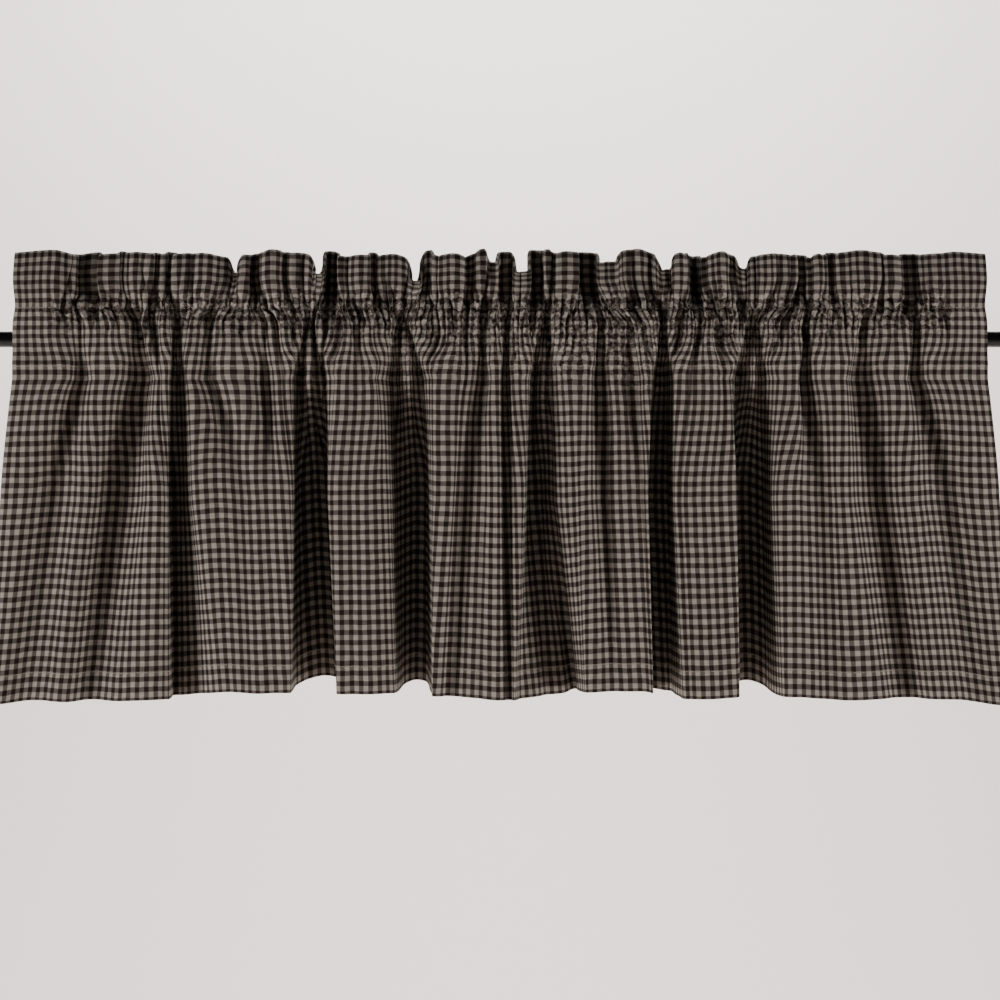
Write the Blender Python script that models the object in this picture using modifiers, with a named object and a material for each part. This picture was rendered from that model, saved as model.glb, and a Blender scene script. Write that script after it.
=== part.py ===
"""Gathered cafe valance on its curtain rod.

The valance is one flat panel of checked cotton.  Its top edge is turned over to the back and
sewn down twice: the upper row of stitches closes a standing header ruffle, the lower row closes
a pocket that the rod runs through.  Pushed together on the rod, the cloth crinkles at the pocket
and falls below it in flat panels parted by deep folds.

Frame: millimetres in this file, +Z up, origin on the rod's axis at its middle, +X along the rod,
the room side at -Y.  Every row of the mesh is one level of the panel and every column is one
upright thread, so the columns keep their spacing in the cloth at every level.
"""

import math

import bmesh
import bpy
import numpy as np

MM = 0.001

# The panel as it is cut and sewn.
CLOTH_WIDTH = 1524.0        # 60 in from side hem to side hem, flat
CLOTH_THICKNESS = 1.2       # the cotton with its turned hems, as one sheet
HEADER_HEIGHT = 45.0        # top fold to the upper stitches
SKIRT_LENGTH = 266.0        # lower stitches to the bottom edge, along the thread
FLAP_LENGTH = 6.0           # what the turned-over top keeps below the lower stitches
COLUMNS = 148
HEADER_MIDDLE = 0.45        # heights of the header's rows, against its whole height
HEADER_SHOULDER = 0.97
SKIRT_ROWS = (0.0, 16.0, 38.0, 70.0, 115.0, 180.0, SKIRT_LENGTH)   # lengths below the stitches

# The rod, and where the two rows of stitches sit above and below its axis.
ROD_RADIUS = 6.35           # 1/2 in rod
ROD_LENGTH = 914.4          # 36 in rod
ROD_SIDES = 32
UPPER_STITCH_Z = 23.7
LOWER_STITCH_Z = -22.3
ROD_CLEARANCE = 0.3         # between the rod and the inner face of the cloth
POCKET_ROUND_Z = 8.0        # the pocket wraps the rod between plus and minus this height

# How the cloth lies.
CROWDING_REACH = 25.0               # length of cloth over which the gathering evens out
UNGATHERED_END = 28.0               # flat cloth at each end of the pocket
SEAM_LAYER_GAP = 3.8                # middle of one layer to middle of the other, at the stitches
HEADER_LAYER_GAP = 3.4              # the same at the top fold of the header
LOBE_ROUNDING = 10.0                # length of cloth over which the corner of a lobe turns
CRINKLE_PITCH = 42.0                # cloth taken up by one crinkle of the pocket
CRINKLE_DEPTH = 5.4                 # half of a crinkle's height, at the upper stitches
ROD_CRINKLE_SHARE = 0.6             # how much of it is left over the rod
SEAM_CRINKLE_SHARE = 0.4            # and at the lower stitches
CRINKLE_FADE = 55.0                 # how far the crinkles run down into the skirt
POCKET_PUFF = 13.0                  # how far the pocket's front stands off the rod between folds
ROD_FOLD_SHARE = 0.5                # share of a skirt fold's depth already there over the rod
SEAM_FOLD_SHARE = 0.6               # and at the lower stitches
FOLD_GROWTH = 50.0                  # length over which a skirt fold reaches its full depth
RIDGE_Y_AT_SEAM = -5.0
RIDGE_Y_AT_HEM = -24.0
RIDGE_RUN = 60.0                    # length over which the ridges come forward
PANEL_CROWN = 0.035                 # rise of a panel between two folds, against its width
CORNER_AT_SEAM = 6.0                # length of cloth over which a fold's corner turns
CORNER_BELOW = 8.0
MOST_SLANT = 0.5                    # a row never drops less than this share of its length

# The levels of the skirt that the fold table describes, as lengths below the lower stitches.
FOLD_LEVELS = (10.0, 106.0, 264.0)

# Every fold of the skirt, left to right.  "Threads" are where the middle of the fold falls in the
# flat cloth, at the pocket and from mid height down.  "Wall" is the part of the fold's width that
# each of its walls takes before it turns.  Then come its left lip, its right lip and its depth at
# each level, and last the fold's middle, as place and depth at each level: a low ridge at the
# gathers that sinks to be the fold's bottom lower down.
FOLDS = (
    # name              threads       wall   at the gathers     at mid height      at the hem
    ("left_end_pull",   (62, 47),     0.45, (-338, -321, 14), (-363, -338, 10), (-376, -357, 5), None),
    ("left_swag",       (130, 101),   0.40, (-302, -278, 18), (-318, -295, 18), (-335, -316, 12), None),
    ("left_break",      (222, 214),   0.42, (-264, -247, 15), (-262, -243, 36), (-261, -231, 38), None),
    ("left_dimple",     (298, 302),   0.50, (-231, -220, 6), (-209, -194, 5), (-205, -193, 2), None),
    ("left_tuck",       (348, 328),   0.50, (-192, -179, 16), (-180, -175, 0), (-180, -175, 0), None),
    ("deep_left",       (425, 410),   0.25, (-166, -138, 20), (-160, -137, 34), (-165, -130, 38),
     ((-152, 9), (-149, 56), (-148, 64))),
    ("deep_mid_left",   (604, 600),   0.25, (-89, -58, 22), (-84, -57, 34), (-75, -54, 34),
     ((-74, 8), (-70, 56), (-64, 62))),
    ("centre_crease",   (712, 695),   0.50, (-22, -8, 10), (-35, -20, 11), (-41, -27, 3), None),
    ("centre_line",     (760, 748),   0.50, (-1, 11, 16), (0, 12, 18), (5, 17, 6), None),
    ("deep_centre",     (830, 836),   0.40, (21, 34, 22), (24, 41, 52), (29, 49, 40), None),
    ("centre_half",     (872, 905),   0.45, (40, 49, 14), (44, 55, 13), (55, 68, 14), None),
    ("right_tuck",      (938, 952),   0.50, (73, 83, 16), (77, 92, 6), (84, 95, 0), None),
    ("deep_mid_right",  (1042, 1056), 0.40, (122, 135, 22), (118, 141, 54), (121, 152, 58), None),
    ("deep_right",      (1211, 1240), 0.25, (184, 220, 24), (190, 213, 36), (192, 221, 38),
     ((202, 12), (201, 58), (206, 64))),
    ("right_crease",    (1308, 1352), 0.50, (236, 248, 14), (245, 262, 9), (253, 267, 2), None),
    ("right_swag",      (1394, 1423), 0.40, (278, 302, 18), (295, 318, 18), (316, 335, 12), None),
    ("right_end_pull",  (1462, 1477), 0.45, (321, 338, 14), (338, 363, 10), (357, 376, 5), None),
)
SKIRT_ENDS = ((385.5, 3), (395.0, 6), (406.0, 8))   # half width and set-back of the side hems

# Every standing lobe of the header ruffle, left to right, at the top fold: its left and right
# side, how far it leans to the room, and how deep the cloth falls back between it and the next.
LOBES = (
    # left, right, lean, fall-back
    (-386, -338, 4, 15),
    (-316, -304, 6, 12),
    (-299, -277, 2, 13),
    (-272, -266, 8, 16),
    (-260, -216, 4, 30),
    (-191, -171, 2, 12),
    (-165, -149, 6, 30),
    (-126, -106, 8, 12),
    (-98, -72, 8, 34),
    (-52, -24, 6, 16),
    (-15, -9, 3, 24),
    (-2, 8, 8, 30),
    (36, 42, 2, 10),
    (46, 59, 2, 22),
    (77, 92, 16, 14),
    (98, 124, 0, 26),
    (137, 149, 3, 20),
    (161, 186, 6, 22),
    (199, 235, 3, 20),
    (245, 259, 6, 12),
    (269, 302, 3, 10),
    (306, 318, 4, 15),
    (338, 386, 4, 0),
)


def clear_scene():
    for scene_object in list(bpy.data.objects):
        bpy.data.objects.remove(scene_object, do_unlink=True)


def make_material(name, colour, roughness, metallic=0.0):
    material = bpy.data.materials.new(name)
    material.use_nodes = True
    shader = material.node_tree.nodes["Principled BSDF"]
    shader.inputs["Base Color"].default_value = (*colour, 1.0)
    shader.inputs["Roughness"].default_value = roughness
    shader.inputs["Metallic"].default_value = metallic
    material.diffuse_color = (*colour, 1.0)
    return material


def smoothstep(value):
    value = np.clip(value, 0.0, 1.0)
    return value * value * (3.0 - 2.0 * value)


def path_lengths(points):
    """Length along a broken line from its first point to each of its points."""
    steps = np.hypot(*np.diff(points, axis=0).T)
    return np.concatenate(([0.0], np.cumsum(steps)))


def rounded(values, reach):
    """Average each thread with its neighbours within about `reach` mm of cloth."""
    spacing = CLOTH_WIDTH / (len(values) - 1)
    half = max(1, int(math.ceil(2.5 * reach / spacing)))
    offsets = np.arange(-half, half + 1) * spacing
    weights = np.exp(-0.5 * (offsets / reach) ** 2)
    weights /= weights.sum()
    before = 2.0 * values[0] - values[half:0:-1]
    after = 2.0 * values[-1] - values[-2:-half - 2:-1]
    return np.convolve(np.concatenate((before, values, after)), weights, mode="valid")


def fold_points(level):
    """Lips, floors and panel crowns of the skirt at one level, as (x, depth behind the ridges)."""
    end_x, end_depth = SKIRT_ENDS[level]
    points = [(-end_x, end_depth)]
    previous_lip = -end_x
    for _name, _threads, wall, *levels, middle in FOLDS:
        left, right, depth = levels[level]
        width = right - left
        points.append((0.5 * (previous_lip + left), -PANEL_CROWN * (left - previous_lip)))
        points += [(left, 0.0), (left + wall * width, depth)]
        if middle:
            points.append(middle[level])
        points += [(right - wall * width, depth), (right, 0.0)]
        previous_lip = right
    points.append((0.5 * (previous_lip + end_x), -PANEL_CROWN * (end_x - previous_lip)))
    points.append((end_x, end_depth))
    return np.array(points, float)


def deepened(points, length):
    """Scale the depths of a section until the broken line is `length` long."""
    low, high = 0.5, 3.0
    for _step in range(30):
        factor = 0.5 * (low + high)
        if path_lengths(points * (1.0, factor))[-1] < length:
            low = factor
        else:
            high = factor
    return points * (1.0, factor)


def fold_threads(level):
    """The stated threads of the fold middles, with the two side hems."""
    below = min(level, 1)
    return np.array([0.0] + [fold[1][below] for fold in FOLDS] + [CLOTH_WIDTH])


def fold_middles(level):
    """x of the fold middles at one level, with the two side hems."""
    end_x = SKIRT_ENDS[level][0]
    return np.array([-end_x] + [0.5 * (fold[3 + level][0] + fold[3 + level][1]) for fold in FOLDS]
                    + [end_x])


def pocket_x(threads):
    """Where each thread lies along the pocket, with its crowding evened out."""
    return rounded(np.interp(threads, fold_threads(0), fold_middles(0)), CROWDING_REACH)


def skirt_sections():
    """The three described sections, each as rows of (thread, x, depth)."""
    sections = []
    for level in range(len(FOLD_LEVELS)):
        points = fold_points(level)
        if level > 0:
            points = deepened(points, CLOTH_WIDTH)
        lengths = path_lengths(points)
        at_middles = np.interp(fold_middles(level), points[:, 0], lengths)
        threads = np.interp(lengths, at_middles, fold_threads(level))
        sections.append(np.column_stack((threads, points)))
    return sections


def between_sections(sections, below_stitches):
    """Blend of the two nearest sections; the folds swing quickly at the gathers, then settle."""
    upper, middle, lower = FOLD_LEVELS
    if below_stitches > middle:
        share = (below_stitches - middle) / (lower - middle)
        return (1.0 - share) * sections[1] + share * sections[2]
    share = ((middle - max(below_stitches, upper)) / (middle - upper)) ** 1.5
    return share * sections[0] + (1.0 - share) * sections[1]


def fold_row(sections, threads, below_stitches):
    """x and fold depth of every thread at one level, with the corners rounded."""
    section = between_sections(sections, below_stitches)
    below = min(1.0, below_stitches / FOLD_LEVELS[1])
    corner = CORNER_AT_SEAM + (CORNER_BELOW - CORNER_AT_SEAM) * below
    return (rounded(np.interp(threads, section[:, 0], section[:, 1]), corner),
            rounded(np.interp(threads, section[:, 0], section[:, 2]), corner))


def crinkle_wave(threads):
    """The gathers' uneven wave in mm, minus on a crest; the ends of the pocket lie flat."""
    drift = 0.9 * np.sin(threads / 61.0) + 0.7 * np.sin(threads / 23.0 + 1.3)
    swell = 0.8 + 0.2 * np.sin(threads / 37.0 + 0.6)
    from_end = np.minimum(threads, CLOTH_WIDTH - threads)
    gathered = smoothstep((from_end - UNGATHERED_END) / UNGATHERED_END)
    wave = np.sin(2.0 * math.pi * threads / CRINKLE_PITCH + drift)
    return CRINKLE_DEPTH * gathered * swell * wave


def skirt_row(sections, threads, below_stitches):
    """x and y of every thread at a length below the lower stitches."""
    x, depth = fold_row(sections, threads, below_stitches)
    depth *= SEAM_FOLD_SHARE + (1.0 - SEAM_FOLD_SHARE) * smoothstep(below_stitches / FOLD_GROWTH)
    fade = max(0.0, 1.0 - below_stitches / CRINKLE_FADE) ** 1.5
    come_forward = smoothstep(below_stitches / RIDGE_RUN)
    ridge = RIDGE_Y_AT_SEAM + (RIDGE_Y_AT_HEM - RIDGE_Y_AT_SEAM) * come_forward
    return x, ridge + depth + SEAM_CRINKLE_SHARE * fade * crinkle_wave(threads)


def lobe_section(threads):
    """x and y of every thread along the header's top fold, over the cloth the pocket feeds."""
    xs = pocket_x(threads)
    points = []
    for (left, right, lean, fall_back), following in zip(LOBES, LOBES[1:] + (None,)):
        fed_left, fed_right = np.interp((left, right), xs, threads)
        points += [(fed_left, left, -lean), (fed_right, right, -lean)]
        if following:
            fed_next = np.interp(following[0], xs, threads)
            gap = following[0] - right
            width = right - left
            slack = 0.5 * (fed_next - fed_left - width)
            depth = min(fall_back, math.sqrt(max(slack ** 2 - (0.25 * gap) ** 2, 9.0)))
            points[-1] = (fed_left + 0.5 * (width + fed_right - fed_left), right, -lean)
            floor = 0.25 * gap
            points += [(points[-1][0] + 0.4 * (fed_next - points[-1][0]), right + floor, depth),
                       (points[-1][0] + 0.6 * (fed_next - points[-1][0]), right + 3 * floor, depth)]
    points = np.array(points, float)
    x = np.interp(threads, points[:, 0], points[:, 1])
    y = np.interp(threads, points[:, 0], points[:, 2])
    return rounded(x, LOBE_ROUNDING), rounded(y, LOBE_ROUNDING)


def layer_offset(x, y, gap):
    """Half of `gap` square to the row of threads, towards the back."""
    tangent_x, tangent_y = np.gradient(x), np.gradient(y)
    size = np.hypot(tangent_x, tangent_y)
    return -0.5 * gap * tangent_y / size, 0.5 * gap * tangent_x / size


def cloth_rows(threads):
    """The whole panel, row by row from the turned-over flap's edge to the bottom edge."""
    sections = skirt_sections()
    seam_x, seam_y = skirt_row(sections, threads, 0.0)
    pocket_xs = pocket_x(threads)
    wave = crinkle_wave(threads)
    against_rod = ROD_RADIUS + ROD_CLEARANCE + 0.5 * CLOTH_THICKNESS
    top_x, top_y = lobe_section(threads)
    rod_x, rod_depth = fold_row(sections, threads, 0.0)

    def front_of_rod(height):
        puff = POCKET_PUFF - ROD_FOLD_SHARE * rod_depth - ROD_CRINKLE_SHARE * wave
        return rod_x, -against_rod - np.maximum(puff, 0.0), np.full_like(threads, height)

    def back_of_rod(height):
        puff = 0.5 * CRINKLE_DEPTH + 1.3 * ROD_CRINKLE_SHARE * wave
        return pocket_xs, against_rod + np.maximum(puff, 0.0), np.full_like(threads, height)

    def seam_row(side, x, y, height):
        return x, y + side * 0.5 * SEAM_LAYER_GAP, np.full_like(threads, height)

    def header_row(side, share):
        lift = smoothstep(share)
        x = pocket_xs + (top_x - pocket_xs) * lift
        y = wave + (top_y - wave) * lift
        gap = SEAM_LAYER_GAP + (HEADER_LAYER_GAP - SEAM_LAYER_GAP) * lift
        off_x, off_y = layer_offset(x, y, gap)
        stand = np.sqrt(np.maximum((share * HEADER_HEIGHT) ** 2 - (x - pocket_xs) ** 2
                                   - (y - wave) ** 2, (MOST_SLANT * share * HEADER_HEIGHT) ** 2))
        return x + side * off_x, y + side * off_y, UPPER_STITCH_Z + stand

    front, back = -1.0, 1.0
    rows = [
        seam_row(back, seam_x, seam_y, LOWER_STITCH_Z - FLAP_LENGTH),
        seam_row(back, seam_x, seam_y, LOWER_STITCH_Z),
        back_of_rod(-POCKET_ROUND_Z),
        back_of_rod(POCKET_ROUND_Z),
        seam_row(back, pocket_xs, wave, UPPER_STITCH_Z),
        header_row(back, HEADER_MIDDLE),
        header_row(back, HEADER_SHOULDER),
        header_row(0.0, 1.0),
        header_row(front, HEADER_SHOULDER),
        header_row(front, HEADER_MIDDLE),
        seam_row(front, pocket_xs, wave, UPPER_STITCH_Z),
        front_of_rod(POCKET_ROUND_Z),
        front_of_rod(-POCKET_ROUND_Z),
        seam_row(front, seam_x, seam_y, LOWER_STITCH_Z),
    ]
    x, y, z = rows[-1]
    for above, below in zip(SKIRT_ROWS, SKIRT_ROWS[1:]):
        next_x, next_y = skirt_row(sections, threads, below)
        next_y = next_y - 0.5 * SEAM_LAYER_GAP
        drop = (below - above) ** 2 - (next_x - x) ** 2 - (next_y - y) ** 2
        z = z - rounded(np.sqrt(np.maximum(drop, (MOST_SLANT * (below - above)) ** 2)), 10.0)
        x, y = next_x, next_y
        rows.append((x, y, z))
    return np.array(rows)


def make_valance(collection, material):
    threads = np.linspace(0.0, CLOTH_WIDTH, COLUMNS + 1)
    rows = cloth_rows(threads)
    last_row = len(rows) - 1
    sheet = bmesh.new()
    bmesh.ops.create_grid(sheet, x_segments=COLUMNS, y_segments=last_row, size=0.5)
    for vertex in sheet.verts:
        column = round((vertex.co.x + 0.5) * COLUMNS)
        row = round((vertex.co.y + 0.5) * last_row)
        vertex.co = rows[row, :, column] * MM
    mesh = bpy.data.meshes.new("valance")
    sheet.to_mesh(mesh)
    sheet.free()
    mesh.shade_smooth()
    valance = bpy.data.objects.new("valance", mesh)
    collection.objects.link(valance)
    valance.data.materials.append(material)
    wall = valance.modifiers.new("Thickness", "SOLIDIFY")
    wall.thickness = CLOTH_THICKNESS * MM
    wall.offset = 0.0
    return valance


def make_rod(collection, material):
    bpy.ops.mesh.primitive_cylinder_add(
        vertices=ROD_SIDES, radius=ROD_RADIUS * MM, depth=ROD_LENGTH * MM,
        rotation=(0.0, math.radians(90.0), 0.0))
    rod = bpy.context.object
    rod.name = "rod"
    rod.data.name = "rod"
    for owner in list(rod.users_collection):
        owner.objects.unlink(rod)
    collection.objects.link(rod)
    rod.data.materials.append(material)
    return rod


def main():
    clear_scene()
    collection = bpy.data.collections.new("window_valance")
    bpy.context.scene.collection.children.link(collection)
    cotton = make_material("checked_cotton", (0.13, 0.11, 0.095), 0.95)
    enamel = make_material("black_enamel", (0.012, 0.012, 0.014), 0.25)
    make_valance(collection, cotton)
    make_rod(collection, enamel)


main()
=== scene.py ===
"""A gathered cafe valance of small checked cotton, hung by its rod pocket on a thin black rod.

The sections follow the way it is put together: the rod, the cloth panel that is pushed together
on it, and the sewing thread.  After them come the studio and the camera.  Lengths are in
millimetres until they are written into a mesh.  +X runs along the rod, the room is at -Y.
"""
import math

import bmesh
import bpy
import numpy as np
from mathutils import Matrix, Vector


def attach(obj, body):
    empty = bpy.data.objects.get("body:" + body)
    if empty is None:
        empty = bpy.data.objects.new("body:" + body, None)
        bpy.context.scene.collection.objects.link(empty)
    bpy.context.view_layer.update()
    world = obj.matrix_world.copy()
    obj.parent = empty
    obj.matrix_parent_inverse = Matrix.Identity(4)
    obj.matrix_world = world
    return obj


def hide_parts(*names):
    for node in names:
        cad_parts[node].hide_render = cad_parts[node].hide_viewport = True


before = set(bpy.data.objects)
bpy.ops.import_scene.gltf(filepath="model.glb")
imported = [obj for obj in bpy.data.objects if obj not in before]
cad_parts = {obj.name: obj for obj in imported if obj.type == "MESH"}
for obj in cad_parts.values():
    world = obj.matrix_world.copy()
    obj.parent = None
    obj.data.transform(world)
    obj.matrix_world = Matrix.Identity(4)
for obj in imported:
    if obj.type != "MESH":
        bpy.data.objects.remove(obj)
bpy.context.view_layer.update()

# ---------------------------------------------------------------------------------------------
# The rod.  A half-inch round steel tube with pressed end caps, sprayed with gloss black enamel.
# It runs through the pocket and past both ends of the cloth.

MM = 0.001
ROD_RADIUS = 6.35
ROD_LENGTH = 914.4
ROD_SIDES = 96
ROD_CAP_ROUNDING = 1.1          # radius of the edge round each end cap
ENAMEL_BLACK = "#0D0C0D"
ENAMEL_ORANGE_PEEL = 1.6        # size of the ripples that sprayed enamel dries with
ORANGE_PEEL_HEIGHT = 0.05


def linear(hex_colour):
    """An sRGB hex colour as linear RGBA."""
    channels = [int(hex_colour[i:i + 2], 16) / 255.0 for i in (1, 3, 5)]
    return tuple(c / 12.92 if c <= 0.04045 else ((c + 0.055) / 1.055) ** 2.4
                 for c in channels) + (1.0,)


def add_node(material, kind, settings=None, **links):
    """Add a node; settings are its properties, links its inputs: a value or another socket."""
    node = material.node_tree.nodes.new(kind)
    for name, value in (settings or {}).items():
        setattr(node, name, value)
    for name, value in links.items():
        socket = node.inputs[int(name[1:])] if name[1:].isdigit() else node.inputs[
            name.replace("_", " ")]
        if isinstance(value, bpy.types.NodeSocket):
            material.node_tree.links.new(value, socket)
        else:
            socket.default_value = value
    return node


def new_material(name):
    """A material and its shader node."""
    material = bpy.data.materials.new(name)
    material.use_nodes = True
    return material, material.node_tree.nodes["Principled BSDF"]


rod_mesh = bmesh.new()
bmesh.ops.create_cone(rod_mesh, cap_ends=True, segments=ROD_SIDES, radius1=ROD_RADIUS * MM,
                      radius2=ROD_RADIUS * MM, depth=ROD_LENGTH * MM,
                      matrix=Matrix.Rotation(math.radians(90.0), 4, "Y"))
cap_edges = [edge for edge in rod_mesh.edges
             if abs(edge.verts[0].co.x - edge.verts[1].co.x) < MM]
bmesh.ops.bevel(rod_mesh, geom=cap_edges, offset=ROD_CAP_ROUNDING * MM, segments=3,
                profile=0.5, affect="EDGES", material=-1)
bmesh.ops.recalc_face_normals(rod_mesh, faces=rod_mesh.faces)
for face in rod_mesh.faces:
    face.smooth = len(face.verts) == 4
rod_data = bpy.data.meshes.new("black_rod")
rod_mesh.to_mesh(rod_data)
rod_mesh.free()
rod = bpy.data.objects.new("black_rod", rod_data)
bpy.context.scene.collection.objects.link(rod)

# Sprayed enamel: nearly black, glossy, with a faint orange peel and a little dust.
enamel, enamel_shader = new_material("gloss_black_enamel")
on_rod = add_node(enamel, "ShaderNodeTexCoord").outputs["Object"]
peel = add_node(enamel, "ShaderNodeTexNoise", Vector=on_rod,
                Scale=1.0 / (ENAMEL_ORANGE_PEEL * MM), Detail=2.0)
dust = add_node(enamel, "ShaderNodeTexNoise", Vector=on_rod, Scale=90.0, Detail=5.0)
dusty = add_node(enamel, "ShaderNodeMapRange", Value=dust.outputs["Fac"],
                 **{"From Min": 0.35, "From Max": 0.7, "To Min": 0.16, "To Max": 0.27})
enamel_bump = add_node(enamel, "ShaderNodeBump", Height=peel.outputs["Fac"], Strength=0.12,
                       Distance=ORANGE_PEEL_HEIGHT * MM)
enamel_shader.inputs["Base Color"].default_value = linear(ENAMEL_BLACK)
enamel.node_tree.links.new(dusty.outputs["Result"], enamel_shader.inputs["Roughness"])
enamel.node_tree.links.new(enamel_bump.outputs["Normal"], enamel_shader.inputs["Normal"])
rod.data.materials.append(enamel)

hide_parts("rod")
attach(rod, "root")

# ---------------------------------------------------------------------------------------------
# The cloth.  One flat panel of woven check cotton, 60 in wide.  Its top edge is turned over to
# the back and sewn down twice, which makes a standing header and the rod pocket, and its bottom
# edge is turned up in a deep hem.  Pushed together on the rod it hangs at half its flat width.

CLOTH_WIDTH = 1524.0            # from side to side, flat
HEADER_HEIGHT = 51.5            # top fold to the upper stitches
SKIRT_LENGTH = 266.0            # lower stitches to the bottom edge, along the thread
FLAP_LENGTH = 6.0               # the turned-over top below the lower stitches
HEM_DEPTH = 22.0                # the turned-up bottom hem
HEM_THICKNESS = 1.0             # middle of the hem's back layer to middle of its front layer
COLUMNS = 1000                  # threads of the mesh, 1.5 mm of cloth apart

UPPER_STITCH_Z = 23.7           # the pocket's two seams, above and below the rod's axis
LOWER_STITCH_Z = -22.3
POCKET_PATH = 54.0              # mean length of the pocket's cloth between its two seams
POCKET_ROUND_Z = 8.0            # the pocket wraps the rod between plus and minus this height
ROD_STANDOFF = 7.4              # the pocket's nearest layer to the rod's axis, before it is gathered
CROWDING_REACH = 25.0           # length of cloth over which the gathering evens out
STITCH_Y = -15.5                # the upper stitches, in front of the rod's axis
LOBES_AT_STITCHES = (0.65, 0.18)    # share of the header's lobes already there, along x and y
FOLDS_AT_STITCHES = 0.15        # share of the skirt's folds that still is
SHARE_IN_LOBES = 0.79           # of the header's cloth; fine ripples take up the rest
LOBE_WALL = 0.07                # share of a hollow between two lobes that each wall takes
LOBE_DRIFT_REACH = 45.0         # length of rod over which the header's cloth evens out
LOBE_DRIFT_FROM_END = (48.0, 88.0)  # and how far in from its ends that starts and is in full force
UNGATHERED_END = 28.0           # flat cloth at each end of the pocket
STITCH_PULL = 2.5               # how far the upper stitches draw in the two side edges
STITCH_PULL_REACH = 18.0        # and how much cloth next to them
SEAM_LAYER_GAP = 1.2            # middle of one layer to middle of the other, at the stitches
HEADER_LAYER_GAP = 3.0          # the same under the top fold of the header
LAYERS_PART_OVER = 20.0         # height above the stitches over which the gap grows
TOP_FOLD_REACH = 4.0            # length of cloth over which the top fold brings it to nothing
HEADER_STANDS = 0.935           # its height against the length of its cloth, which ripples
HEADER_LEAN = 14.0              # how far the top fold stands back from the stitches
LOBES_FULL_AT = (0.6, 0.36)     # share of the header's height where they are full, along x and y
HEADER_SAG = 0.05               # a slanted part of the header loses at most this height
LOBE_ROUNDING = 2.6             # length of cloth over which the corner of a lobe turns
CRINKLE_PITCH = 42.0            # cloth taken up by one large crinkle of the pocket
CRINKLE_DEPTH = 4.0             # half of its full height
STITCH_CRINKLE_SHARE = 0.6      # how much of it shows at the upper stitches
ROD_CRINKLE_SHARE = 0.6         # over the rod in front
BACK_CRINKLE_SHARE = 0.78       # over the rod behind
SEAM_CRINKLE_SHARE = 0.4        # and at the lower stitches
CRINKLE_FADE = 55.0             # how far it runs down into the skirt
POCKET_PUFF = 11.5              # how far the pocket's front stands off the rod between folds
END_PUFF = 8.0                  # the same on the flat cloth at the ends
BACK_PUFF = 2.5                 # and how far its back does
ROD_FOLD_SHARE = 0.6            # share of a skirt fold's depth already there over the rod
SEAM_FOLD_SHARE = 0.75          # and at the lower stitches
FOLD_GROWTH = 50.0              # length over which a skirt fold reaches its full depth
RIDGE_Y_AT_SEAM = -18.0         # the panels between the folds, before the rod's axis
RIDGE_Y_AT_HEM = -21.0
RIDGE_RUN = 100.0               # length over which the ridges come forward
SHARE_IN_FOLDS = 0.94           # of the cloth; ripples too small for the table take up the rest
PANEL_CROWN = 0.045             # rise of a panel between two folds, against its width
CORNER_AT_SEAM = 3.5            # length of cloth over which a fold's corner turns
CORNER_BELOW = 4.5              # and the same from half way down
LEAST_DROP = 0.4                # a row drops at least this share of its length
DROP_ROUNDING = 8.0             # and neighbouring threads even out their drop over this much cloth

# The levels of the skirt that the fold table describes, as lengths below the lower stitches.
# Above the first of them, at the upper stitches, the same folds are pinched to narrow creases.
FOLD_LEVELS = (10.0, 106.0, 264.0)
PINCHED_LEVEL = -34.0
PINCHED_WIDTH = 0.28            # of a fold at the upper stitches, against its first stated width
EVENED_SHARE = 0.8              # how far the gathers there even the cloth out along the rod

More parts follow.
